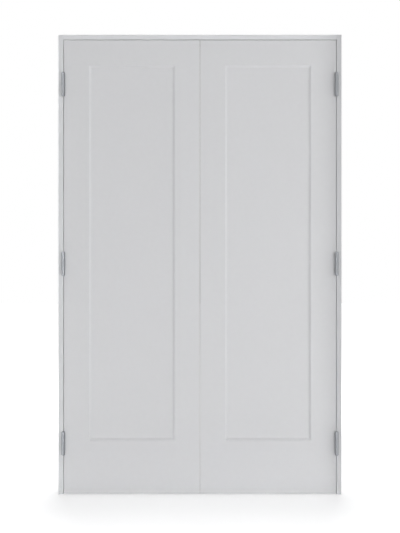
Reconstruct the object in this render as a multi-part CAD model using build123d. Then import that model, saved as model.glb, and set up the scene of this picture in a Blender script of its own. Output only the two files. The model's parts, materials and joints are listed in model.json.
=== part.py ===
from build123d import *
import os
from math import radians, sqrt, tan

# Pair of one-panel doors hung in their own frame, in millimetres. X = 0 is the line where the two
# leaves meet, Z = 0 is the floor, and both leaves open towards -Y. Everything on the left half is
# built in place and mirrored to the right half.

# Leaf sizes
leaf_width = 609.6
leaf_height = 2032.0
leaf_thickness = 44.45
stile_face = 112.5
top_rail_face = 113.5
bottom_rail_face = 238.0
recess_depth = 7.5
bevel_width = 9.5
bevel_nose = 1.0
panel_groove = 10.0
panel_play = 1.5
leaf_arris = 1.2
meeting_bevel_degrees = 3.5

# Gaps round the leaves
edge_gap = 2.0
head_gap = 2.0
meeting_gap = 0.5
floor_gap = 3.0

# Frame sizes
jamb_thickness = 22.2
jamb_depth = 115.9
jamb_arris = 1.0
stop_thickness = 11.0
stop_width = 34.0
stop_arris = 2.5
stop_clearance = 1.6

# Dowels in the corner joints of a leaf
dowel_diameter = 12.7
dowel_length = 100.0
dowel_room = 1.5
top_dowel_shares = (0.55, 0.82)
bottom_dowel_shares = (0.2, 0.5, 0.8)

# Hinges
plate_height = 101.6
plate_thickness = 3.3
plate_backset = 6.35
plate_corner = 15.9
pin_offset = 12.7
pin_diameter = 9.3
pin_play = 0.05
knuckle_count = 5
knuckle_gap = 0.3
knuckle_relief = 0.5
knuckle_ease = 0.4
tip_height = 2.8
tip_rounding = 2.0
tip_lip = 1.2
tip_stem = 6.0
pin_end_room = 1.0
hinge_top_margin = 200.0
hinge_bottom_margin = 228.0
plate_screw_height_shares = (-0.375, -0.125, 0.125, 0.375)
plate_screw_reach_shares = (0.66, 0.34, 0.34, 0.66)

# Screws and brads
screw_diameter = 4.4
screw_head_diameter = 8.4
screw_tip = 4.0
drive_length = 4.8
drive_width = 1.1
drive_depth = 1.5
plate_screw_share = 0.85
head_screw_length = 50.0
head_screw_shares = (0.2, 0.5, 0.8)
brad_diameter = 1.2
brad_length = 25.0
side_brad_count = 6
head_brad_count = 5

# Ball catches and their strikes
catch_setback = 70.0
catch_plate_length = 54.0
catch_plate_width = 25.4
catch_plate_thickness = 2.0
catch_plate_corner = 4.0
catch_case_diameter = 17.5
catch_case_depth = 30.0
catch_case_floor = 2.0
catch_screw_share = 0.38
catch_screw_length = 16.0
ball_diameter = 11.1
ball_play = 0.15
strike_bite = 1.3
strike_thickness = 1.6
strike_hole_diameter = 9.5
strike_relief = 3.0
spring_wire = 1.0
spring_coil_diameter = 7.4
spring_turns = 8

# Clearance of let-in plates and fasteners
fit_play = 0.05
mortise_play = 0.1

# Sizes that follow from the ones above
pin_radius = pin_diameter / 2
bore_radius = pin_radius + pin_play
barrel_radius = bore_radius + plate_thickness
barrel_reach = pin_offset + barrel_radius
front = -(jamb_depth - barrel_reach) / 2
leaf_back = front + leaf_thickness
leaf_mid = front + leaf_thickness / 2
jamb_back = front + jamb_depth
meeting_bevel = leaf_thickness * tan(radians(meeting_bevel_degrees))
meeting_x = -meeting_gap / 2
leaf_x = meeting_x - leaf_width
pin_x = leaf_x - edge_gap / 2
jamb_x = leaf_x - edge_gap
outer_x = jamb_x - jamb_thickness
leaf_bottom = floor_gap
leaf_top = leaf_bottom + leaf_height
head_z = leaf_top + head_gap
unit_height = head_z + jamb_thickness
stop_front = leaf_back + stop_clearance
stop_back = stop_front + stop_width
plate_reach = leaf_thickness - plate_backset
plate_screw_length = plate_screw_share * jamb_thickness
screw_head_height = (screw_head_diameter - screw_diameter) / 2
stile_groove = stile_face + bevel_width - panel_groove
top_hinge_z = leaf_top - hinge_top_margin
bottom_hinge_z = leaf_bottom + hinge_bottom_margin
hinge_heights = {
    "top": top_hinge_z,
    "middle": (top_hinge_z + bottom_hinge_z) / 2,
    "bottom": bottom_hinge_z,
}
ball_radius = ball_diameter / 2
ball_z = head_z + strike_bite - ball_radius
catch_x = meeting_x - catch_setback
case_bottom = leaf_top - catch_case_depth


def block(x_range, y_range, z_range):
    """Box between two limits along each axis."""
    low, high = zip(x_range, y_range, z_range)
    size = [b - a for a, b in zip(low, high)]
    return Pos(*low) * Box(*size, align=(Align.MIN, Align.MIN, Align.MIN))


def prism(points, along):
    """Closed outline of points pushed along a vector."""
    outline = make_face(Polyline(*points, close=True))
    length = Vector(*along).length
    return extrude(outline, amount=length, dir=Vector(*along).normalized())


def turned(points):
    """Outline of (radius, height) points turned round the Z axis."""
    outline = make_face(Polyline(*[(radius, 0, height) for radius, height in points], close=True))
    return revolve(outline, axis=Axis.Z)


def spread(start, end, count):
    """Evenly spaced places between two limits, half a step in from each."""
    step = (end - start) / count
    first = start + step / 2
    return [first + step * index for index in range(count)]


def screw_shape(length, play):
    """Countersunk screw pointing down with its head at zero, larger all round by the play."""
    head = screw_head_diameter / 2 + play
    shank = screw_diameter / 2 + play
    end = -(length + play)
    return turned([(0, 0), (head, 0), (shank, -screw_head_height), (shank, end + screw_tip), (0, end)])


def screw(length):
    """Countersunk screw with a cross drive."""
    half_length = drive_length / 2
    half_width = drive_width / 2
    arm = block((-half_length, half_length), (-half_width, half_width), (-drive_depth, drive_depth))
    return screw_shape(length, 0) - [arm, Rot(0, 0, 90) * arm]


def rod(start, end, radius):
    """Round bar between two points."""
    line = Vector(*end) - Vector(*start)
    plane = Plane(origin=start, z_dir=line.normalized())
    return plane * Cylinder(radius, line.length, align=(Align.CENTER, Align.CENTER, Align.MIN))


def group(shapes):
    """Like pieces kept as separate solids of one node."""
    return Compound(children=list(shapes))


def sticking(face_width):
    """Outline across a stile or rail as (distance from the outer edge, depth from the front)."""
    inner = face_width + bevel_width
    groove = inner - panel_groove
    front_half = [
        (0, 0),
        (face_width, 0),
        (inner, recess_depth - bevel_nose),
        (inner, recess_depth),
        (groove, recess_depth),
    ]
    back_half = [(across, leaf_thickness - depth) for across, depth in reversed(front_half)]
    return front_half + back_half


def plate_blank(x_range, y_range, z_range):
    """Hinge plate outline with its two back corners rounded."""
    plate = block(x_range, y_range, z_range)
    corners = plate.edges().filter_by(Axis.X).group_by(Axis.Y)[-1]
    return fillet(corners, plate_corner)


def flat_plate(centre, z_range, play):
    """Catch or strike plate with rounded corners, larger in outline by the play."""
    half_length = catch_plate_length / 2 + play
    half_width = catch_plate_width / 2 + play
    x, y = centre
    plate = block((x - half_length, x + half_length), (y - half_width, y + half_width), z_range)
    return fillet(plate.edges().filter_by(Axis.Z), catch_plate_corner)


# Knuckle limits along a hinge, from its lower end up
knuckle_length = plate_height / knuckle_count


def knuckle_limits(first):
    """Height limits of every second knuckle, short of its neighbours by the knuckle gap."""
    limits = []
    for index in range(first, knuckle_count, 2):
        low = -plate_height / 2 + index * knuckle_length
        high = low + knuckle_length
        low_trim = 0 if index == 0 else knuckle_gap / 2
        high_trim = 0 if index == knuckle_count - 1 else knuckle_gap / 2
        limits.append((low + low_trim, high - high_trim))
    return limits


def plate_screw_places(z):
    """Depth and height of each screw in a hinge plate."""
    return [
        (front + reach * plate_reach, z + height * plate_height)
        for reach, height in zip(plate_screw_reach_shares, plate_screw_height_shares)
    ]


def hinge_plate(z, side, first):
    """Hinge plate with its knuckles; side is 1 on the leaf and -1 on the jamb."""
    near = pin_x + side * edge_gap / 2
    far = near + side * plate_thickness
    x_range = (min(near, far), max(near, far))
    pin_y = front - pin_offset
    start_y = pin_y + barrel_radius + knuckle_relief
    half = plate_height / 2
    plate = plate_blank(x_range, (start_y, front + plate_reach), (z - half, z + half))
    for low, high in knuckle_limits(first):
        plate += block(x_range, (pin_y, start_y), (z + low, z + high))
        knuckle = rod((pin_x, pin_y, z + low), (pin_x, pin_y, z + high), barrel_radius)
        plate += chamfer(knuckle.edges().filter_by(GeomType.CIRCLE), knuckle_ease)
    bore = rod((pin_x, pin_y, z - plate_height), (pin_x, pin_y, z + plate_height), bore_radius)
    turn = Rot(0, -side * 90, 0)
    holes = [Pos(near, y, screw_z) * turn * screw_shape(plate_screw_length, fit_play)
             for y, screw_z in plate_screw_places(z)]
    return plate - bore - holes


def hinge_mortise(z, side):
    """Pocket for a hinge plate, open at the front."""
    near = pin_x + side * edge_gap / 2
    far = near + side * plate_thickness
    lip = near - side * edge_gap / 2
    half = plate_height / 2 + mortise_play
    x_range = (min(lip, far), max(lip, far))
    return plate_blank(x_range, (front - pin_offset, front + plate_reach + mortise_play), (z - half, z + half))


def hinge_screws(side, play):
    """All hinge screws of one side of one leaf, or their holes when a play is given."""
    near = pin_x + side * edge_gap / 2
    turn = Rot(0, -side * 90, 0)
    shape = screw_shape(plate_screw_length, play) if play else screw(plate_screw_length)
    return [Pos(near, y, screw_z) * turn * shape
            for z in hinge_heights.values() for y, screw_z in plate_screw_places(z)]


def hinge_pin(z):
    """Pin with a button head that rests on the top knuckle."""
    pin_y = front - pin_offset
    top = z + plate_height / 2
    bottom = z - plate_height / 2 + tip_stem + pin_end_room
    head = rod((pin_x, pin_y, top), (pin_x, pin_y, top + tip_height), barrel_radius - tip_lip)
    head = fillet(head.edges().group_by(Axis.Z)[-1], tip_rounding)
    return head + rod((pin_x, pin_y, bottom), (pin_x, pin_y, top), pin_radius)


def hinge_tip(z):
    """Button tip with a stem in the bottom knuckle."""
    pin_y = front - pin_offset
    bottom = z - plate_height / 2
    head = rod((pin_x, pin_y, bottom - tip_height), (pin_x, pin_y, bottom), barrel_radius - tip_lip)
    head = fillet(head.edges().group_by(Axis.Z)[0], tip_rounding)
    return head + rod((pin_x, pin_y, bottom), (pin_x, pin_y, bottom + tip_stem), bore_radius)


# Leaf outline with a bevelled meeting edge and eased arrises
leaf_outline = prism(
    [
        (leaf_x, front, leaf_bottom),
        (meeting_x, front, leaf_bottom),
        (meeting_x - meeting_bevel, leaf_back, leaf_bottom),
        (leaf_x, leaf_back, leaf_bottom),
    ],
    (0, 0, leaf_height),
)
leaf_outline = fillet(leaf_outline.edges(), leaf_arris)

# Stiles, rails and panel of a leaf
hinge_stile = prism(
    [(leaf_x + across, front + depth, leaf_bottom) for across, depth in sticking(stile_face)],
    (0, 0, leaf_height),
)
meeting_stile = prism(
    [(meeting_x - across, front + depth, leaf_bottom) for across, depth in sticking(stile_face)],
    (0, 0, leaf_height),
)
tenon_left = leaf_x + stile_groove
tenon_right = meeting_x - stile_groove
rail_length = tenon_right - tenon_left
top_rail = prism(
    [(tenon_left, front + depth, leaf_top - across) for across, depth in sticking(top_rail_face)],
    (rail_length, 0, 0),
) - [hinge_stile, meeting_stile]
bottom_rail = prism(
    [(tenon_left, front + depth, leaf_bottom + across) for across, depth in sticking(bottom_rail_face)],
    (rail_length, 0, 0),
) - [hinge_stile, meeting_stile]
panel_bottom = leaf_bottom + bottom_rail_face + bevel_width - panel_groove
panel_top = leaf_top - top_rail_face - bevel_width + panel_groove
panel = block(
    (tenon_left + panel_play, tenon_right - panel_play),
    (front + recess_depth, leaf_back - recess_depth),
    (panel_bottom + panel_play, panel_top - panel_play),
)

# Dowels across the joints between stiles and rails
dowel_heights = [leaf_top - share * top_rail_face for share in top_dowel_shares]
dowel_heights += [leaf_bottom + share * bottom_rail_face for share in bottom_dowel_shares]
dowels = []
dowel_holes = []
for x in (tenon_left, tenon_right):
    for z in dowel_heights:
        half = dowel_length / 2
        reach = half + dowel_room
        dowels.append(rod((x - half, leaf_mid, z), (x + half, leaf_mid, z), dowel_diameter / 2))
        dowel_holes.append(rod((x - reach, leaf_mid, z), (x + reach, leaf_mid, z), dowel_diameter / 2 + fit_play))

# Ball catch in the top of the meeting stile
catch_plate_z = (leaf_top - catch_plate_thickness, leaf_top)
case_radius = catch_case_diameter / 2
catch_case = flat_plate((catch_x, leaf_mid), catch_plate_z, 0)
catch_case += rod((catch_x, leaf_mid, case_bottom), (catch_x, leaf_mid, catch_plate_z[0]), case_radius)
cavity_radius = ball_radius + ball_play
cavity_floor = case_bottom + catch_case_floor
cavity = rod((catch_x, leaf_mid, cavity_floor), (catch_x, leaf_mid, ball_z), cavity_radius)
cavity += Pos(catch_x, leaf_mid, ball_z) * Sphere(cavity_radius)
catch_screw_reach = catch_screw_share * catch_plate_length
catch_screw_x = (catch_x - catch_screw_reach, catch_x + catch_screw_reach)
catch_holes = [Pos(x, leaf_mid, leaf_top) * screw_shape(catch_screw_length, fit_play) for x in catch_screw_x]
catch_case = catch_case - cavity - catch_holes
catch_ball = Pos(catch_x, leaf_mid, ball_z) * Sphere(ball_radius)
catch_screws = [Pos(x, leaf_mid, leaf_top) * screw(catch_screw_length) for x in catch_screw_x]
case_well = rod((catch_x, leaf_mid, case_bottom - fit_play), (catch_x, leaf_mid, leaf_top), case_radius + fit_play)
plate_well = flat_plate((catch_x, leaf_mid), (catch_plate_z[0], leaf_top + catch_plate_thickness), mortise_play)

# Spring under the ball, from the floor of the case to the ball's underside
coil_radius = spring_coil_diameter / 2
wire_radius = spring_wire / 2
spring_low = cavity_floor + wire_radius
spring_high = ball_z - sqrt((ball_radius + wire_radius + fit_play) ** 2 - coil_radius ** 2)
spring_height = spring_high - spring_low
spring_path = Helix(spring_height / spring_turns, spring_height, coil_radius)
wire_plane = Plane(origin=spring_path @ 0, z_dir=spring_path % 0)
spring = sweep(wire_plane * Circle(wire_radius), path=spring_path)
catch_spring = Pos(catch_x, leaf_mid, spring_low) * spring

# Strike in the underside of the head, with a drilled relief above it
strike_z = (head_z, head_z + strike_thickness)
strike_hole = rod(
    (catch_x, leaf_mid, head_z), (catch_x, leaf_mid, strike_z[1] + strike_relief), strike_hole_diameter / 2
)
up = Rot(180, 0, 0)
strike_holes = [Pos(x, leaf_mid, head_z) * up * screw_shape(catch_screw_length, fit_play) for x in catch_screw_x]
strike_plate = flat_plate((catch_x, leaf_mid), strike_z, 0) - strike_hole - strike_holes
strike_screws = [Pos(x, leaf_mid, head_z) * up * screw(catch_screw_length) for x in catch_screw_x]
strike_well = flat_plate((catch_x, leaf_mid), (head_z - strike_thickness, strike_z[1]), mortise_play)

# Stops against the jambs and the head
left_stop = block((jamb_x, jamb_x + stop_thickness), (stop_front, stop_back), (0, head_z - stop_thickness))
left_stop = fillet(left_stop.edges().filter_by(Axis.Z).group_by(Axis.X)[-1], stop_arris)
head_stop = block((jamb_x, -jamb_x), (stop_front, stop_back), (head_z - stop_thickness, head_z))
head_stop = fillet(head_stop.edges().filter_by(Axis.X).group_by(Axis.Z)[0], stop_arris)
stop_mid = (stop_front + stop_back) / 2


def brad(start, step, radius, play):
    """Headless nail from a stop's face into the wood behind it."""
    end = [a + b * (brad_length + play) for a, b in zip(start, step)]
    return rod(start, end, radius + play)


side_brad_starts = [(jamb_x + stop_thickness, stop_mid, z)
                    for z in spread(0, head_z - stop_thickness, side_brad_count)]
head_brad_starts = [(x, stop_mid, head_z - stop_thickness) for x in spread(jamb_x, -jamb_x, head_brad_count)]
brad_radius = brad_diameter / 2
side_brads = [brad(start, (-1, 0, 0), brad_radius, 0) for start in side_brad_starts]
head_brads = [brad(start, (0, 0, 1), brad_radius, 0) for start in head_brad_starts]
side_brad_holes = [brad(start, (-1, 0, 0), brad_radius, fit_play) for start in side_brad_starts]
head_brad_holes = [brad(start, (0, 0, 1), brad_radius, fit_play) for start in head_brad_starts]

# Screws through the side jamb into the end of the head
into_head = Rot(0, -90, 0)
head_screw_places = [Pos(outer_x, front + share * jamb_depth, head_z + jamb_thickness / 2) * into_head
                     for share in head_screw_shares]
head_screws = [place * screw(head_screw_length) for place in head_screw_places]
head_screw_holes = [place * screw_shape(head_screw_length, fit_play) for place in head_screw_places]

# Jamb and head with their arrises, mortises and holes
left_jamb = block((outer_x, jamb_x), (front, jamb_back), (0, unit_height))
left_jamb = fillet(left_jamb.edges().filter_by(Axis.Z), jamb_arris)
jamb_cuts = [hinge_mortise(z, -1) for z in hinge_heights.values()]
jamb_cuts += hinge_screws(-1, fit_play) + head_screw_holes + side_brad_holes
left_jamb = left_jamb - jamb_cuts
head_jamb = block((jamb_x, -jamb_x), (front, jamb_back), (head_z, unit_height))
head_jamb = fillet(head_jamb.edges().filter_by(Axis.X), jamb_arris)
half_cuts = head_screw_holes + [strike_well, strike_hole] + strike_holes
head_jamb = head_jamb - half_cuts - [mirror(cut, about=Plane.YZ) for cut in half_cuts] - head_brad_holes
left_stop = left_stop - side_brad_holes
head_stop = head_stop - head_brad_holes

# Finished leaf pieces, trimmed to the leaf outline and cut for their hardware
stile_cuts = [hinge_mortise(z, 1) for z in hinge_heights.values()] + hinge_screws(1, fit_play) + dowel_holes
hinge_stile = (hinge_stile & leaf_outline) - stile_cuts
meeting_stile = (meeting_stile & leaf_outline) - dowel_holes - [plate_well, case_well] - catch_holes
top_rail = (top_rail & leaf_outline) - dowel_holes
bottom_rail = (bottom_rail & leaf_outline) - dowel_holes

# One half of the unit, mirrored to the other
half_pieces = {
    "jamb": left_jamb,
    "stop": left_stop,
    "stop_brads": group(side_brads),
    "head_screws": group(head_screws),
    "jamb_hinge_screws": group(hinge_screws(-1, 0)),
    "hinge_tips": group([hinge_tip(z) for z in hinge_heights.values()]),
    "strike_plate": strike_plate,
    "strike_screws": group(strike_screws),
    "hinge_stile": hinge_stile,
    "meeting_stile": meeting_stile,
    "top_rail": top_rail,
    "bottom_rail": bottom_rail,
    "panel": panel,
    "dowels": group(dowels),
    "leaf_hinge_screws": group(hinge_screws(1, 0)),
    "catch_case": catch_case,
    "catch_spring": catch_spring,
    "catch_ball": catch_ball,
    "catch_screws": group(catch_screws),
}
for place, z in hinge_heights.items():
    half_pieces[f"{place}_jamb_plate"] = hinge_plate(z, -1, 0)
    half_pieces[f"{place}_leaf_plate"] = hinge_plate(z, 1, 1)
    half_pieces[f"{place}_hinge_pin"] = hinge_pin(z)

# Pieces that cross the middle
middle_pieces = {
    "head_jamb": head_jamb,
    "head_stop": head_stop,
    "head_stop_brads": group(head_brads),
}

os.makedirs("parts", exist_ok=True)
for name, shape in half_pieces.items():
    export_step(shape, f"parts/left_{name}.step")
    export_step(mirror(shape, about=Plane.YZ), f"parts/right_{name}.step")
for name, shape in middle_pieces.items():
    export_step(shape, f"parts/{name}.step")
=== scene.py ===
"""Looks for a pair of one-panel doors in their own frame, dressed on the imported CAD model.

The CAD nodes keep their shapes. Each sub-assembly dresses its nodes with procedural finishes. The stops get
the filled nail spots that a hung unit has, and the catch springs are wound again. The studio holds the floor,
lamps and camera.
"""

import json
import logging
import math
from dataclasses import dataclass, field
from enum import Enum
from typing import Any, Optional, Union

import bpy
from mathutils import Euler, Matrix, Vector


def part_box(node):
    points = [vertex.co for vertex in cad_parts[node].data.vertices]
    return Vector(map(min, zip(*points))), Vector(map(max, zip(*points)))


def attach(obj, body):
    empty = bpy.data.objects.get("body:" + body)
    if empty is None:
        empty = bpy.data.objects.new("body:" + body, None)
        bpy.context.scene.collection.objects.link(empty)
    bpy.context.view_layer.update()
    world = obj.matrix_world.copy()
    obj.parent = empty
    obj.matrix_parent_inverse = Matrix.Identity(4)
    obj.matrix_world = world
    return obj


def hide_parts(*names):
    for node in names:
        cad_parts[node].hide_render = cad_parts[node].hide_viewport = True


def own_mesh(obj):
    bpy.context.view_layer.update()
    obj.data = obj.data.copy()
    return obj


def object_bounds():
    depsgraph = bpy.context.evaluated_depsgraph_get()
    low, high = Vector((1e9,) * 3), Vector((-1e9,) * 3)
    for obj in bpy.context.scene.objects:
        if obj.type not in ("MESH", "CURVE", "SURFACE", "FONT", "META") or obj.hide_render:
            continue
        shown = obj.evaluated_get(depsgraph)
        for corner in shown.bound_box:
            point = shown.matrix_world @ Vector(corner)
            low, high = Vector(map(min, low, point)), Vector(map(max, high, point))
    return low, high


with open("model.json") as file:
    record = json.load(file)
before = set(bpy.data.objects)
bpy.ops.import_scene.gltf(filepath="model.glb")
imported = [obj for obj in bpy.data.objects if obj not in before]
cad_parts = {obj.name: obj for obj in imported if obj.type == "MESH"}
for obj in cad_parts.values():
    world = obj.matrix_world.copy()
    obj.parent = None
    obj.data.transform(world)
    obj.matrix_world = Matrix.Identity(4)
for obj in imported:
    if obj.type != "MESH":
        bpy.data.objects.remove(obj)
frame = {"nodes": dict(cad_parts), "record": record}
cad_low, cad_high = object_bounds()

log = logging.getLogger("doors")

Triple = tuple[float, float, float]
Colour = Triple
Limits = tuple[float, float]
SocketKey = Union[str, int]
Operand = Union["Signal", int, float]
Tint = Union["Signal", Colour]

MM = 0.001
QUARTER_TURN = math.radians(90.0)
SMOOTH_ANGLE = math.radians(40.0)
NO_TURN: Triple = (0.0, 0.0, 0.0)
WHITE: Colour = (1.0, 1.0, 1.0)
NOISE_MIDDLE = 0.5
NOISE_ROUGHNESS = 0.55
FACING_UP = 0.5

# Sockets of a Mix node that mixes colours
MIX_FIRST, MIX_SECOND, MIX_RESULT = 6, 7, 2


class Side(Enum):
    """The two halves of the unit, as seen from the side that the leaves open towards."""

    LEFT = "left"
    RIGHT = "right"


class Place(Enum):
    """The three hinges of a leaf, from the top down."""

    TOP = "top"
    MIDDLE = "middle"
    BOTTOM = "bottom"


class Run(Enum):
    """The axis that a length of wood runs along."""

    UP = 2
    ACROSS = 0


class Detail(Enum):
    """How many finer layers a noise field has."""

    SOFT = 2.0
    PLAIN = 3.0
    RICH = 4.0


class Signal:
    """A shader socket that Python operators can combine into Math nodes."""

    def __init__(self, graph: "Graph", socket: Optional[bpy.types.NodeSocket]) -> None:
        """Keep the socket and the graph that it belongs to.

        Args:
            graph: the node graph that new nodes are added to.
            socket: the output socket that carries the value, or None for a node that ends the graph.
        """
        self.graph = graph
        self.socket = socket

    def maths(self, operation: str, first: Operand, second: Operand) -> "Signal":
        """Add one Math node.

        Args:
            operation: the Math node's operation.
            first: the first operand, a signal or a number.
            second: the second operand, a signal or a number.

        Returns:
            The result as a signal.
        """
        return self.graph.node("ShaderNodeMath", {"operation": operation}, {0: first, 1: second})

    def __add__(self, other: Operand) -> "Signal":
        """Add."""
        return self.maths("ADD", self, other)

    __radd__ = __add__

    def __sub__(self, other: Operand) -> "Signal":
        """Subtract."""
        return self.maths("SUBTRACT", self, other)

    def __rsub__(self, other: Operand) -> "Signal":
        """Subtract from a number."""
        return self.maths("SUBTRACT", other, self)

    def __mul__(self, other: Operand) -> "Signal":
        """Multiply."""
        return self.maths("MULTIPLY", self, other)

    __rmul__ = __mul__

    def __neg__(self) -> "Signal":
        """Change the sign."""
        return self.maths("MULTIPLY", self, -1.0)

    def __abs__(self) -> "Signal":
        """Take the size of the value."""
        return self.maths("ABSOLUTE", self, 0.0)

    def most(self, other: Operand) -> "Signal":
        """Take the larger of two values."""
        return self.maths("MAXIMUM", self, other)

    def swing(self, spread: float) -> "Signal":
        """Turn a noise about one half into a swing about zero.

        Args:
            spread: the width of the swing, from the noise's 0 to its 1.

        Returns:
            The swing as a signal.
        """
        return (self - NOISE_MIDDLE) * spread

    def above(self, low: float, high: float) -> "Signal":
        """Rise smoothly from 0 to 1 between two levels.

        Args:
            low: the level where the result leaves 0.
            high: the level where the result reaches 1.

        Returns:
            The smooth step as a signal.
        """
        settings = {"interpolation_type": "SMOOTHSTEP"}
        values = {"Value": self, "From Min": low, "From Max": high}
        return self.graph.node("ShaderNodeMapRange", settings, values, "Result")


class Graph:
    """A node graph that is filled by naming nodes, their settings and their inputs."""

    def __init__(self, tree: bpy.types.NodeTree) -> None:
        """Start with an empty graph.

        Args:
            tree: the node tree of a material or of the world.
        """
        self.tree = tree
        self.tree.nodes.clear()

    def node(
        self, kind: str, settings: dict[str, Any], inputs: dict[SocketKey, Any], output: SocketKey = 0
    ) -> Signal:
        """Add one node.

        Args:
            kind: the node's type name.
            settings: attributes of the node, set before its sockets.
            inputs: socket name or number to a signal to link or a value to set.
            output: name or number of the output that the result stands for.

        Returns:
            The chosen output as a signal.
        """
        made = self.tree.nodes.new(kind)
        for name, value in settings.items():
            setattr(made, name, value)
        for key, value in inputs.items():
            if isinstance(value, Signal):
                self.tree.links.new(value.socket, made.inputs[key])
            else:
                made.inputs[key].default_value = value
        return Signal(self, made.outputs[output] if made.outputs else None)

    def coordinates(self, name: str = "Object") -> Signal:
        """Read the surface's place or normal in the piece's own frame.

        Args:
            name: an output of the Texture Coordinate node, Object or Normal.

        Returns:
            The vector as a signal.
        """
        return self.node("ShaderNodeTexCoord", {}, {}, name)

    def part(self, vector: Signal, axis: str) -> Signal:
        """Take one component of a vector.

        Args:
            vector: the vector signal.
            axis: X, Y or Z.

        Returns:
            The component as a signal.
        """
        return self.node("ShaderNodeSeparateXYZ", {}, {0: vector}, axis)

    def noise(self, scales: Triple, detail: Detail, turn: Triple = NO_TURN) -> Signal:
        """Add a noise field about one half, with its own scale along each axis.

        Args:
            scales: features per metre along X, Y and Z.
            detail: how many finer layers are added.
            turn: rotation of the field, in radians.

        Returns:
            The noise as a signal from 0 to 1.
        """
        placing = {"Vector": self.coordinates(), "Scale": scales, "Rotation": turn}
        mapped = self.node("ShaderNodeMapping", {}, placing)
        values = {"Vector": mapped, "Scale": 1.0, "Detail": detail.value, "Roughness": NOISE_ROUGHNESS}
        return self.node("ShaderNodeTexNoise", {"noise_dimensions": "3D"}, values)

    def even_noise(self, per_metre: float, detail: Detail) -> Signal:
        """Add a noise field with the same scale along all axes.

        Args:
            per_metre: features per metre.
            detail: how many finer layers are added.

        Returns:
            The noise as a signal from 0 to 1.
        """
        return self.noise((per_metre, per_metre, per_metre), detail)

    def blend(self, factor: Signal, first: Tint, second: Tint) -> Signal:
        """Mix two colours.

        Args:
            factor: 0 for the first colour and 1 for the second.
            first: a colour or a colour signal.
            second: a colour or a colour signal.

        Returns:
            The mixed colour as a signal.
        """
        values = {"Factor": factor, MIX_FIRST: self.opaque(first), MIX_SECOND: self.opaque(second)}
        return self.node("ShaderNodeMix", {"data_type": "RGBA"}, values, MIX_RESULT)

    def shade(self, colour: Tint, level: Signal) -> Signal:
        """Scale a colour by a level.

        Args:
            colour: a colour or a colour signal.
            level: the factor as a signal.

        Returns:
            The scaled colour as a signal.
        """
        grey = self.node("ShaderNodeCombineColor", {}, {0: level, 1: level, 2: level})
        settings = {"data_type": "RGBA", "blend_type": "MULTIPLY"}
        values = {"Factor": 1.0, MIX_FIRST: self.opaque(colour), MIX_SECOND: grey}
        return self.node("ShaderNodeMix", settings, values, MIX_RESULT)

    def bump(self, height: Signal, depth: float, strength: float, below: Optional[Signal] = None) -> Signal:
        """Turn a height field into a normal.

        Args:
            height: the height from 0 to 1.
            depth: the height of the relief in metres.
            strength: how much of the relief shows.
            below: a normal that this relief lies on.

        Returns:
            The normal as a signal.
        """
        values: dict[SocketKey, Any] = {"Height": height, "Distance": depth, "Strength": strength}
        if below is not None:
            values["Normal"] = below
        return self.node("ShaderNodeBump", {}, values)

    def surface(self, **inputs: Any) -> None:
        """Finish a material with one principled shader.

        Args:
            inputs: socket names, with underscores for spaces, to signals or values.
        """
        named = {name.replace("_", " "): self.opaque(value) for name, value in inputs.items()}
        shader = self.node("ShaderNodeBsdfPrincipled", {}, named)
        self.node("ShaderNodeOutputMaterial", {}, {"Surface": shader})

    @staticmethod
    def opaque(colour: Any) -> Any:
        """Give a plain three-part colour its alpha of 1, and leave other values alone."""
        return (*colour, 1.0) if isinstance(colour, tuple) and len(colour) == 3 else colour


@dataclass(frozen=True)
class Finish:
    """What every finish shares: a name, a colour and a roughness.

    In the finishes below, a spread is how far a noise moves a colour's level or a roughness in all.
    """

    name: str
    colour: Colour
    roughness: float

    def material(self) -> bpy.types.Material:
        """Make the material, or find it if it is already made.

        Returns:
            The material of this finish.
        """
        found = bpy.data.materials.get(self.name)
        if found is not None:
            return found
        made = bpy.data.materials.new(self.name)
        made.use_nodes = True
        self.paint(Graph(made.node_tree))
        return made

    def paint(self, graph: Graph) -> None:
        """Fill the material's graph."""
        raise NotImplementedError


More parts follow.
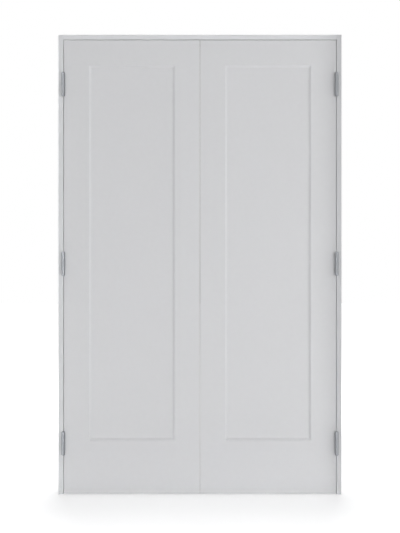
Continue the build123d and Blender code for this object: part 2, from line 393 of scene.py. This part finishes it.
@dataclass(frozen=True)
class PrimedBoard(Finish):
    """Sprayed primer on dense board: a fine orange peel, a painted highlight on the bevels and edges, and
    painted shade where the leaves meet.
    """

    specular: float = 0.35
    # Painted highlight: faces turned away from front and back, the bevels and edges, are coloured lighter.
    edge_highlight_colour: Colour = (0.656, 0.658, 0.67)
    edge_facing: Limits = (0.80, 0.97)
    edge_roughness: float = 0.12
    # Painted shade: the colour darkens within a few millimetres of the seam where the leaves meet.
    seam_shade_colour: Colour = (0.36, 0.357, 0.352)
    seam_shade_reach: float = 2.6 * MM
    seam_shade_core_share: float = 0.3
    seam_shade_least: float = 0.6
    seam_shade_cloud: float = 0.6
    peel_per_metre: float = 420.0
    peel_depth: float = 0.6 * MM
    peel_strength: float = 0.75
    peel_roughness_spread: float = 0.06
    fibre_per_metre: float = 1900.0
    fibre_depth: float = 0.15 * MM
    fibre_strength: float = 0.4
    fibre_spread: float = 0.03
    cloud_per_metre: float = 2.3
    cloud_spread: float = 0.036
    cloud_roughness_spread: float = 0.10
    mottle_per_metre: float = 55.0
    mottle_spread: float = 0.034

    def paint(self, graph: Graph) -> None:
        """Fill the graph with primer, orange peel, board fibre, a painted highlight on the bevels and edges
        and painted shade along the seam.

        Args:
            graph: the material's graph.
        """
        facing = abs(graph.part(graph.coordinates("Normal"), "Y"))
        cut = 1.0 - facing.above(*self.edge_facing)
        cloud = graph.even_noise(self.cloud_per_metre, Detail.PLAIN)
        peel = graph.even_noise(self.peel_per_metre, Detail.SOFT)
        fibre = graph.even_noise(self.fibre_per_metre, Detail.PLAIN)
        mottle = graph.even_noise(self.mottle_per_metre, Detail.RICH)
        tone = cloud.swing(self.cloud_spread) + mottle.swing(self.mottle_spread)
        level = 1.0 + tone + fibre.swing(self.fibre_spread) * cut
        # Painted shade along the seam where the leaves meet.
        from_seam = abs(graph.part(graph.coordinates(), "X"))
        near_seam = 1.0 - from_seam.above(self.seam_shade_core_share * self.seam_shade_reach, self.seam_shade_reach)
        seam_shade = near_seam * (self.seam_shade_least + cloud * self.seam_shade_cloud)
        # Painted highlight: the bevels and edges get the lighter colour.
        edge_lit = graph.blend(cut, self.colour, self.edge_highlight_colour)
        colour = graph.shade(graph.blend(seam_shade, edge_lit, self.seam_shade_colour), level)
        patches = cloud.swing(self.cloud_roughness_spread) + peel.swing(self.peel_roughness_spread)
        roughness = self.roughness + patches + cut * self.edge_roughness
        relief = graph.bump(peel, self.peel_depth, self.peel_strength)
        relief = graph.bump(fibre * cut, self.fibre_depth, self.fibre_strength, relief)
        graph.surface(
            Base_Color=colour, Roughness=roughness, Specular_IOR_Level=self.specular, Normal=relief
        )


@dataclass(frozen=True)
class PrimedPine(Finish):
    """Primer rolled on jointed pine: faint raised grain along the length, bare wood on the sawn feet."""

    run: Run = Run.UP
    specular: float = 0.35
    bare_colour: Colour = (0.62, 0.43, 0.25)
    bare_facing: Limits = (0.7, 0.9)
    bare_height: Limits = (0.5 * MM, 1.5 * MM)
    bare_roughness: float = 0.25
    rings_per_metre: Triple = (900.0, 140.0, 140.0)
    ring_turn: Triple = (0.0, 0.0, 0.3)
    ring_least: float = 0.75
    ring_rise: float = 0.5
    grain_per_metre: float = 260.0
    grain_draw_share: float = 0.02
    grain_depth: float = 0.45 * MM
    grain_strength: float = 0.5
    grain_spread: float = 0.02
    peel_per_metre: float = 330.0
    peel_depth: float = 0.5 * MM
    peel_strength: float = 0.35
    cloud_per_metre: float = 2.0
    cloud_spread: float = 0.04
    cloud_roughness_spread: float = 0.10

    def paint(self, graph: Graph) -> None:
        """Fill the graph with primer, grain and bare end wood.

        Args:
            graph: the material's graph.
        """
        scales = [self.grain_per_metre] * 3
        scales[self.run.value] *= self.grain_draw_share
        grain = graph.noise(tuple(scales), Detail.PLAIN)
        peel = graph.even_noise(self.peel_per_metre, Detail.SOFT)
        cloud = graph.even_noise(self.cloud_per_metre, Detail.PLAIN)
        down = -graph.part(graph.coordinates("Normal"), "Z")
        low = 1.0 - graph.part(graph.coordinates(), "Z").above(*self.bare_height)
        bare = down.above(*self.bare_facing) * low
        rings = graph.noise(self.rings_per_metre, Detail.PLAIN, self.ring_turn)
        wood = graph.shade(self.bare_colour, self.ring_least + rings * self.ring_rise)
        level = 1.0 + cloud.swing(self.cloud_spread) + grain.swing(self.grain_spread)
        colour = graph.blend(bare, graph.shade(self.colour, level), wood)
        roughness = self.roughness + cloud.swing(self.cloud_roughness_spread) + bare * self.bare_roughness
        relief = graph.bump(grain, self.grain_depth, self.grain_strength)
        relief = graph.bump(peel, self.peel_depth, self.peel_strength, relief)
        graph.surface(
            Base_Color=colour, Roughness=roughness, Specular_IOR_Level=self.specular, Normal=relief
        )


@dataclass(frozen=True)
class SandedPutty(Finish):
    """Filler rubbed flat over a nail and primed with the wood: fine sanding marks and a mottled tone."""

    specular: float = 0.3
    mark_per_metre: float = 2400.0
    mark_draw_share: float = 0.1
    mark_depth: float = 0.05 * MM
    mark_strength: float = 0.3
    mark_spread: float = 0.03
    mottle_per_metre: float = 500.0
    mottle_spread: float = 0.06
    mottle_roughness_spread: float = 0.12

    def paint(self, graph: Graph) -> None:
        """Fill the graph with mottled filler and sanding marks.

        Args:
            graph: the material's graph.
        """
        along = self.mark_per_metre * self.mark_draw_share
        marks = graph.noise((self.mark_per_metre, self.mark_per_metre, along), Detail.SOFT)
        mottle = graph.even_noise(self.mottle_per_metre, Detail.PLAIN)
        level = 1.0 + mottle.swing(self.mottle_spread) + marks.swing(self.mark_spread)
        colour = graph.shade(self.colour, level)
        roughness = self.roughness + mottle.swing(self.mottle_roughness_spread)
        relief = graph.bump(marks, self.mark_depth, self.mark_strength)
        graph.surface(
            Base_Color=colour, Roughness=roughness, Specular_IOR_Level=self.specular, Normal=relief
        )


@dataclass(frozen=True)
class SatinMetal(Finish):
    """Plated steel with fine brush lines that run level round the barrels and across the plates."""

    lines_per_metre: float = 5200.0
    line_draw_share: float = 0.03
    line_depth: float = 0.03 * MM
    line_strength: float = 0.25
    line_spread: float = 0.10
    line_roughness_spread: float = 0.10
    haze_per_metre: float = 60.0
    haze_spread: float = 0.06
    haze_roughness_spread: float = 0.12

    def paint(self, graph: Graph) -> None:
        """Fill the graph with brushed metal and a little handling haze.

        Args:
            graph: the material's graph.
        """
        across = self.lines_per_metre * self.line_draw_share
        lines = graph.noise((across, across, self.lines_per_metre), Detail.SOFT)
        haze = graph.even_noise(self.haze_per_metre, Detail.PLAIN)
        level = 1.0 + lines.swing(self.line_spread) + haze.swing(self.haze_spread)
        colour = graph.shade(self.colour, level)
        patches = haze.swing(self.haze_roughness_spread) + lines.swing(self.line_roughness_spread)
        roughness = self.roughness + patches
        relief = graph.bump(lines, self.line_depth, self.line_strength)
        graph.surface(Base_Color=colour, Metallic=1.0, Roughness=roughness, Normal=relief)


@dataclass(frozen=True)
class TurnedWood(Finish):
    """Bare hardwood with grain along X, for the dowels."""

    grain_per_metre: float = 700.0
    draw_per_metre: float = 12.0
    grain_least: float = 0.8
    grain_rise: float = 0.4
    grain_roughness: float = 0.1
    grain_depth: float = 0.1 * MM
    grain_strength: float = 0.3

    def paint(self, graph: Graph) -> None:
        """Fill the graph with straight grain.

        Args:
            graph: the material's graph.
        """
        scales = (self.draw_per_metre, self.grain_per_metre, self.grain_per_metre)
        grain = graph.noise(scales, Detail.PLAIN)
        colour = graph.shade(self.colour, self.grain_least + grain * self.grain_rise)
        roughness = self.roughness + grain * self.grain_roughness
        relief = graph.bump(grain, self.grain_depth, self.grain_strength)
        graph.surface(Base_Color=colour, Roughness=roughness, Normal=relief)


LEAF_PRIMER = PrimedBoard("leaf_primer_sprayed", colour=(0.624, 0.626, 0.637), roughness=0.52)
JAMB_PRIMER = PrimedPine("jamb_primer_rolled", colour=(0.65, 0.657, 0.668), roughness=0.55, run=Run.UP)
# The head's colour is the jamb primer made lighter: painted light that lifts the shade on the head and its
# stop.
LIGHTENED_HEAD_PRIMER = PrimedPine("head_primer_lightened", colour=(0.668, 0.675, 0.687), roughness=0.55, run=Run.ACROSS)
PUTTY = SandedPutty("nail_spot_putty", colour=(0.635, 0.64, 0.645), roughness=0.62)
HINGE_NICKEL = SatinMetal("hinge_satin_nickel", colour=(0.318, 0.33, 0.347), roughness=0.40)
CATCH_NICKEL = SatinMetal("catch_satin_nickel", colour=(0.42, 0.425, 0.435), roughness=0.32)
SCREW_NICKEL = SatinMetal(
    "screw_satin_nickel",
    colour=(0.40, 0.405, 0.415),
    roughness=0.32,
    lines_per_metre=3000.0,
    line_draw_share=1.0,
)
BRIGHT_STEEL = SatinMetal(
    "bright_spring_steel",
    colour=(0.58, 0.58, 0.6),
    roughness=0.16,
    lines_per_metre=2600.0,
    line_draw_share=1.0,
    line_depth=0.01 * MM,
)
DOWEL_BEECH = TurnedWood("dowel_beech", colour=(0.6, 0.43, 0.26), roughness=0.6)


def dress(node: str, finish: Finish) -> None:
    """Give a CAD node its finish.

    Args:
        node: the node's name.
        finish: the finish for all its faces.
    """
    for slot in frame["nodes"][node].material_slots:
        slot.material = finish.material()
    log.info("dressed %s in %s", node, finish.name)


def copy_of(model: bpy.types.Object, place: Vector, turn: Euler) -> bpy.types.Object:
    """Copy a modelled shape, with a mesh of its own, into the scene.

    Args:
        model: the shape to copy.
        place: where the copy's origin goes.
        turn: how the copy is turned.

    Returns:
        The copy.
    """
    copy = model.copy()
    copy.data = model.data.copy()
    copy.location = place
    copy.rotation_euler = turn
    bpy.context.scene.collection.objects.link(copy)
    return copy


def settle(pieces: list[bpy.types.Object]) -> None:
    """Select these pieces alone and move their places into their meshes.

    Args:
        pieces: the pieces, of which the first becomes the active one.
    """
    bpy.ops.object.select_all(action="DESELECT")
    for piece in pieces:
        piece.select_set(True)
    bpy.context.view_layer.objects.active = pieces[0]
    bpy.ops.object.transform_apply(location=True, rotation=True, scale=True)


@dataclass
class Leaf:
    """One door leaf: stiles, rails and panel under one coat of primer, with dowels in the joints."""

    side: Side
    boards: tuple[str, ...] = ("hinge_stile", "meeting_stile", "top_rail", "bottom_rail", "panel")

    def dress(self) -> None:
        """Finish the boards and the dowels."""
        for board in self.boards:
            dress(f"{self.side.value}_{board}", LEAF_PRIMER)
        dress(f"{self.side.value}_dowels", DOWEL_BEECH)


@dataclass
class Hinge:
    """One butt hinge: two plates and a pin."""

    side: Side
    place: Place
    parts: tuple[str, ...] = ("jamb_plate", "leaf_plate", "hinge_pin")

    def dress(self) -> None:
        """Finish the plates and the pin."""
        for part in self.parts:
            dress(f"{self.side.value}_{self.place.value}_{part}", HINGE_NICKEL)


@dataclass
class HingeFasteners:
    """The screws and lower tips of the hinges of one leaf."""

    side: Side
    screws: tuple[str, ...] = ("jamb_hinge_screws", "leaf_hinge_screws")

    def dress(self) -> None:
        """Finish the screws and the tips."""
        for part in self.screws:
            dress(f"{self.side.value}_{part}", SCREW_NICKEL)
        dress(f"{self.side.value}_hinge_tips", HINGE_NICKEL)


@dataclass
class BallCatch:
    """One ball catch in the top of a leaf and its strike in the head."""

    side: Side

    def dress(self) -> None:
        """Finish the case, strike, screws, spring and ball."""
        finishes = {
            "catch_case": CATCH_NICKEL,
            "strike_plate": CATCH_NICKEL,
            "catch_screws": SCREW_NICKEL,
            "strike_screws": SCREW_NICKEL,
            "catch_spring": BRIGHT_STEEL,
            "catch_ball": BRIGHT_STEEL,
        }
        for part, finish in finishes.items():
            dress(f"{self.side.value}_{part}", finish)


@dataclass
class CatchSprings:
    """The coils under the two catch balls, wound once and copied.

    They stand for the CAD coils, whose length stays the same.
    """

    node: str = "catch_spring"
    wire: float = 1.0 * MM
    wire_sides: int = 12
    turns: int = 8
    steps_per_turn: int = 32

    def wind(self, radius: float, rise: float) -> bpy.types.Object:
        """Wind one coil round the Z axis, upwards from the origin, and close its two ends.

        Args:
            radius: from the coil's axis to the middle of the wire.
            rise: from the middle of the wire at the lower end to that at the upper end.

        Returns:
            The coil that the others are copied from.
        """
        bpy.ops.object.select_all(action="DESELECT")
        bpy.ops.mesh.primitive_circle_add(
            vertices=self.wire_sides,
            radius=self.wire / 2,
            location=(radius, 0.0, 0.0),
            rotation=(QUARTER_TURN, 0.0, 0.0),
        )
        coil = bpy.context.object
        bpy.ops.object.transform_apply(location=True, rotation=True, scale=True)
        bpy.ops.object.modifier_add(type="SCREW")
        winding = coil.modifiers[0]
        winding.axis = "Z"
        winding.iterations = self.turns
        winding.screw_offset = rise / self.turns
        winding.steps = self.steps_per_turn
        winding.render_steps = self.steps_per_turn
        bpy.ops.object.modifier_apply(modifier=winding.name)
        bpy.ops.object.mode_set(mode="EDIT")
        bpy.ops.mesh.select_all(action="SELECT")
        bpy.ops.mesh.fill_holes(sides=self.wire_sides)
        bpy.ops.mesh.normals_make_consistent(inside=False)
        bpy.ops.object.mode_set(mode="OBJECT")
        bpy.ops.object.shade_smooth_by_angle(angle=SMOOTH_ANGLE)
        return coil

    def build(self) -> list[bpy.types.Object]:
        """Copy the coil into each catch.

        Returns:
            The coils.
        """
        low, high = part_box(f"{Side.LEFT.value}_{self.node}")
        rise = high.z - low.z - self.wire
        model = self.wind((high.x - low.x - self.wire) / 2, rise)
        travels = {joint["name"]: joint.get("range_m") for joint in frame["record"]["behaviour"]["joints"]}
        coils = []
        for side in Side:
            low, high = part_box(f"{side.value}_{self.node}")
            foot = Vector(((low.x + high.x) / 2, (low.y + high.y) / 2, low.z))
            coil = copy_of(model, foot + Vector((0.0, 0.0, self.wire / 2)), Euler())
            coil.name = f"{side.value}_{self.node}_coil"
            settle([coil])
            coil.data.materials.append(BRIGHT_STEEL.material())
            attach(coil, f"{side.value}_leaf")
            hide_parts(f"{side.value}_{self.node}")
            press = f"{side.value}_ball_press"
            1.0 - travels[press][1] / rise
            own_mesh(coil)
            log.info("built %s", coil.name)
            coils.append(coil)
        bpy.data.objects.remove(model)
        return coils


@dataclass
class JambSet:
    """The two jambs, the head and the screws that join them."""

    def dress(self) -> None:
        """Finish the three lengths of the frame and their screws."""
        for side in Side:
            dress(f"{side.value}_jamb", JAMB_PRIMER)
            dress(f"{side.value}_head_screws", SCREW_NICKEL)
        dress("head_jamb", LIGHTENED_HEAD_PRIMER)


@dataclass
class PuttySpot:
    """The filled spot over one brad: a thin disc whose top is raised to a low dome."""

    radius: float = 3.2 * MM
    rim: float = 0.06 * MM
    crown: float = 0.2 * MM
    sides: int = 20
    rings: int = 3

    def model(self) -> bpy.types.Object:
        """Model one spot at the origin, facing up, by insetting the disc's top ring by ring.

        Returns:
            The spot that the others are copied from.
        """
        bpy.ops.object.select_all(action="DESELECT")
        bpy.ops.mesh.primitive_cylinder_add(
            vertices=self.sides,
            radius=self.radius,
            depth=self.rim,
            location=(0.0, 0.0, self.rim / 2),
        )
        spot = bpy.context.object
        bpy.ops.object.transform_apply(location=True, rotation=True, scale=True)
        bpy.ops.object.mode_set(mode="EDIT")
        bpy.ops.mesh.select_mode(type="FACE")
        bpy.ops.mesh.select_all(action="DESELECT")
        bpy.ops.object.mode_set(mode="OBJECT")
        for face in spot.data.polygons:
            face.select = face.normal.z > FACING_UP
        bpy.ops.object.mode_set(mode="EDIT")
        step = self.radius / (self.rings + 1)
        rises = range(self.rings, 0, -1)
        for rise in rises:
            bpy.ops.mesh.inset(thickness=step, depth=self.crown * rise / sum(rises))
        bpy.ops.object.mode_set(mode="OBJECT")
        bpy.ops.object.shade_smooth_by_angle(angle=SMOOTH_ANGLE)
        return spot


@dataclass
class StopLength:
    """One length of stop, with putty over its brads that is joined to one piece for the length."""

    stop: str
    finish: Finish
    outward: Vector
    spot: PuttySpot

    @property
    def brads(self) -> str:
        """Name the node of the brads that hold this length."""
        return f"{self.stop}_brads"

    def dress(self) -> None:
        """Finish the stop, and its brads under the same primer."""
        dress(self.stop, self.finish)
        dress(self.brads, self.finish)

    def brad_heads(self) -> list[Vector]:
        """Find the middle of each brad's outer end.

        Returns:
            Points on the face of the stop.
        """
        axis = max(range(3), key=lambda index: abs(self.outward[index]))
        sign = 1.0 if self.outward[axis] > 0 else -1.0
        points = [vertex.co.copy() for vertex in frame["nodes"][self.brads].data.vertices]
        face = max(sign * point[axis] for point in points)
        ends = [point for point in points if sign * point[axis] > face - self.spot.crown]
        groups: list[list[Vector]] = []
        for point in ends:
            for group in groups:
                if (group[0] - point).length < self.spot.radius:
                    group.append(point)
                    break
            else:
                groups.append([point])
        middles = []
        for group in groups:
            low = Vector(min(point[i] for point in group) for i in range(3))
            high = Vector(max(point[i] for point in group) for i in range(3))
            middles.append((low + high) / 2)
        return middles

    def build(self, model: bpy.types.Object) -> bpy.types.Object:
        """Copy the putty spot to every brad of the length and join the copies.

        Args:
            model: the spot to copy, at the origin and facing up.

        Returns:
            The joined piece.
        """
        turn = self.outward.to_track_quat("Z", "Y").to_euler()
        spots = [copy_of(model, place, turn) for place in self.brad_heads()]
        settle(spots)
        bpy.ops.object.join()
        piece = bpy.context.object
        piece.name = f"{self.stop}_putty"
        piece.data.materials.append(PUTTY.material())
        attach(piece, "frame")
        log.info("built %s with %d spots", piece.name, len(spots))
        return piece


@dataclass
class StopSet:
    """The three lengths of stop round the opening, whose putty spots are copies of one model."""

    spot: PuttySpot = field(default_factory=PuttySpot)

    def build(self) -> list[bpy.types.Object]:
        """Finish the stops and put putty over their brads.

        Returns:
            One piece of putty spots for each length.
        """
        lengths = [
            StopLength("left_stop", JAMB_PRIMER, Vector((1.0, 0.0, 0.0)), self.spot),
            StopLength("right_stop", JAMB_PRIMER, Vector((-1.0, 0.0, 0.0)), self.spot),
            StopLength("head_stop", LIGHTENED_HEAD_PRIMER, Vector((0.0, 0.0, -1.0)), self.spot),
        ]
        model = self.spot.model()
        pieces = []
        for length in lengths:
            length.dress()
            pieces.append(length.build(model))
        bpy.data.objects.remove(model)
        return pieces


@dataclass
class Lamp:
    """One soft rectangular lamp.

    The spread is the angle that the lamp's light fans out to, so a small one throws a soft-edged patch.
    A lamp that is left out of reflections lights the paint without a streak on the metal.
    """

    name: str
    place: Vector
    target: Vector
    width: float
    height: float
    watts: float
    spread_degrees: float = 180.0
    in_reflections: bool = True

    def build(self) -> bpy.types.Object:
        """Hang the lamp and aim it.

        Returns:
            The lamp.
        """
        data = bpy.data.lights.new(self.name, "AREA")
        data.shape = "RECTANGLE"
        data.size = self.width
        data.size_y = self.height
        data.energy = self.watts
        data.spread = math.radians(self.spread_degrees)
        lamp = bpy.data.objects.new(self.name, data)
        lamp.location = self.place
        lamp.rotation_euler = (self.target - self.place).to_track_quat("-Z", "Y").to_euler()
        lamp.visible_glossy = self.in_reflections
        bpy.context.scene.collection.objects.link(lamp)
        return lamp


@dataclass
class Studio:
    """Pale floor, soft lamps, white surround and the camera at the photograph's place.

    Rows and columns are pixels of the photograph's frame: where the unit's top and foot lie, and the line
    where the leaves meet. The floor is lifted to near white for the eye, and more so away from the doors.
    """

    frame_columns: int = 400
    frame_rows: int = 533
    top_row: float = 34.7
    bottom_row: float = 494.5
    seam_column: float = 200.0
    camera_distance: float = 3.9
    sensor_mm: float = 36.0
    floor_size: float = 40.0
    floor_colour: Colour = (0.9, 0.9, 0.9)
    floor_lift: float = 0.37
    far_lift: float = 0.33
    lift_reach: Limits = (0.7, 3.0)
    ambient: float = 0.411
    ambient_colour: Colour = (0.985, 0.99, 1.0)

    @staticmethod
    def seen(graph: Graph) -> Signal:
        """Tell the rays that the eye follows, straight or by a mirror or glass, from those that carry light.

        Args:
            graph: the graph that needs to know.

        Returns:
            1 for a ray of the camera, a reflection or a transmission, and 0 for the rest.
        """
        kinds = ("Camera", "Glossy", "Transmission")
        camera, glossy, transmission = (
            graph.node("ShaderNodeLightPath", {}, {}, f"Is {kind} Ray") for kind in kinds
        )
        return camera.most(glossy).most(transmission)

    def world(self) -> None:
        """Light the surround evenly and show it white to the camera and in reflections."""
        world = bpy.data.worlds.new("surround")
        bpy.context.scene.world = world
        world.use_nodes = True
        graph = Graph(world.node_tree)
        dim = {"Strength": self.ambient, "Color": graph.opaque(self.ambient_colour)}
        light = graph.node("ShaderNodeBackground", {}, dim)
        white = graph.node("ShaderNodeBackground", {}, {"Strength": 1.0, "Color": graph.opaque(WHITE)})
        mixed = graph.node("ShaderNodeMixShader", {}, {0: self.seen(graph), 1: light, 2: white})
        graph.node("ShaderNodeOutputWorld", {}, {"Surface": mixed})

    def floor(self) -> bpy.types.Object:
        """Lay the floor, pale to light and white to the eye apart from the object's shadow.

        Returns:
            The floor.
        """
        bpy.ops.object.select_all(action="DESELECT")
        bpy.ops.mesh.primitive_plane_add(size=self.floor_size)
        floor = bpy.context.object
        floor.name = "studio_floor"
        finish = bpy.data.materials.new("studio_floor_pale")
        finish.use_nodes = True
        graph = Graph(finish.node_tree)
        pale = graph.node("ShaderNodeBsdfDiffuse", {}, {"Color": graph.opaque(self.floor_colour)})
        place = graph.coordinates()
        reach = graph.node("ShaderNodeVectorMath", {"operation": "LENGTH"}, {0: place}, "Value")
        lift = self.floor_lift + self.far_lift * reach.above(*self.lift_reach)
        glow = graph.node("ShaderNodeEmission", {}, {"Color": graph.shade(WHITE, lift), "Strength": 1.0})
        lifted = graph.node("ShaderNodeAddShader", {}, {0: pale, 1: glow})
        mixed = graph.node("ShaderNodeMixShader", {}, {0: self.seen(graph), 1: pale, 2: lifted})
        graph.node("ShaderNodeOutputMaterial", {}, {"Surface": mixed})
        floor.data.materials.append(finish)
        return floor

    @staticmethod
    def lamps() -> list[Lamp]:
        """List the lamps.

        A gridded box in front lights all but the right edge, and two boxes from the right model the bevels.
        A box overhead fills the floor, two low strips fill the foot of the doors, and a box lights the back.

        Returns:
            The lamps of the studio.
        """
        middle = (cad_low + cad_high) / 2
        grid_place = Vector((-0.306, -2.4, 1.0))
        grid_target = grid_place + Vector((0.0, 1.0, 0.0))
        right_place = Vector((6.49, -2.62, 0.5))
        front_place = Vector((3.5, -6.06, 0.5))
        over_place = Vector((0.0, -0.95, 3.2))
        over_target = Vector((over_place.x, over_place.y, 0.0))
        low_place, low_target = Vector((0.0, -1.3, 0.06)), Vector((0.0, 0.0, 0.05))
        foot_place, foot_target = Vector((0.0, -1.2, 0.012)), Vector((0.0, 0.0, -0.012))
        back_place = Vector((0.0, 2.8, 4.3))
        return [
            Lamp(
                "front_grid", grid_place, grid_target,
                width=1.808, height=3.0, watts=4.5, spread_degrees=4.7,
            ),
            Lamp(
                "right_key", right_place, middle,
                width=2.2, height=2.6, watts=94.0, in_reflections=False,
            ),
            Lamp(
                "front_key", front_place, middle,
                width=2.2, height=2.6, watts=118.0, in_reflections=False,
            ),
            Lamp(
                "floor_box", over_place, over_target,
                width=3.0, height=1.0, watts=3.2, spread_degrees=24.0,
            ),
            Lamp(
                "low_strip", low_place, low_target,
                width=2.9, height=0.1, watts=0.09, spread_degrees=13.0,
            ),
            Lamp(
                "foot_strip", foot_place, foot_target,
                width=2.9, height=0.016, watts=0.095, spread_degrees=4.7,
            ),
            Lamp("back_box", back_place, middle, width=3.0, height=2.0, watts=125.0),
        ]

    def camera(self) -> bpy.types.Object:
        """Set the camera square on, at the distance and height that the photograph shows.

        Returns:
            The camera.
        """
        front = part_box("head_jamb")[0].y
        middle = (cad_low + cad_high) / 2
        metres_per_row = (cad_high.z - cad_low.z) / (self.bottom_row - self.top_row)
        middle_row = (self.top_row + self.bottom_row) / 2
        data = bpy.data.cameras.new("camera")
        data.sensor_fit = "AUTO"
        data.sensor_width = self.sensor_mm
        data.lens = self.sensor_mm * self.camera_distance / (self.frame_rows * metres_per_row)
        camera = bpy.data.objects.new("camera", data)
        camera.location = (
            middle.x + (self.frame_columns / 2 - self.seam_column) * metres_per_row,
            front - self.camera_distance,
            middle.z - (self.frame_rows / 2 - middle_row) * metres_per_row,
        )
        camera.rotation_euler = Euler((QUARTER_TURN, 0.0, 0.0))
        bpy.context.scene.collection.objects.link(camera)
        bpy.context.scene.camera = camera
        return camera

    def build(self) -> None:
        """Build the whole studio and report its pieces."""
        bpy.context.scene.view_settings.view_transform = "Standard"
        self.world()
        log.info("built %s", self.floor().name)
        for lamp in self.lamps():
            log.info("hung %s", lamp.build().name)
        log.info("set %s", self.camera().name)


def main() -> None:
    """Build and dress every sub-assembly, then the studio."""
    logging.basicConfig(level=logging.INFO, format="%(name)s: %(message)s")
    JambSet().dress()
    StopSet().build()
    for side in Side:
        Leaf(side).dress()
        for place in Place:
            Hinge(side, place).dress()
        HingeFasteners(side).dress()
        BallCatch(side).dress()
    CatchSprings().build()
    Studio().build()


if __name__ == "__main__":
    main()
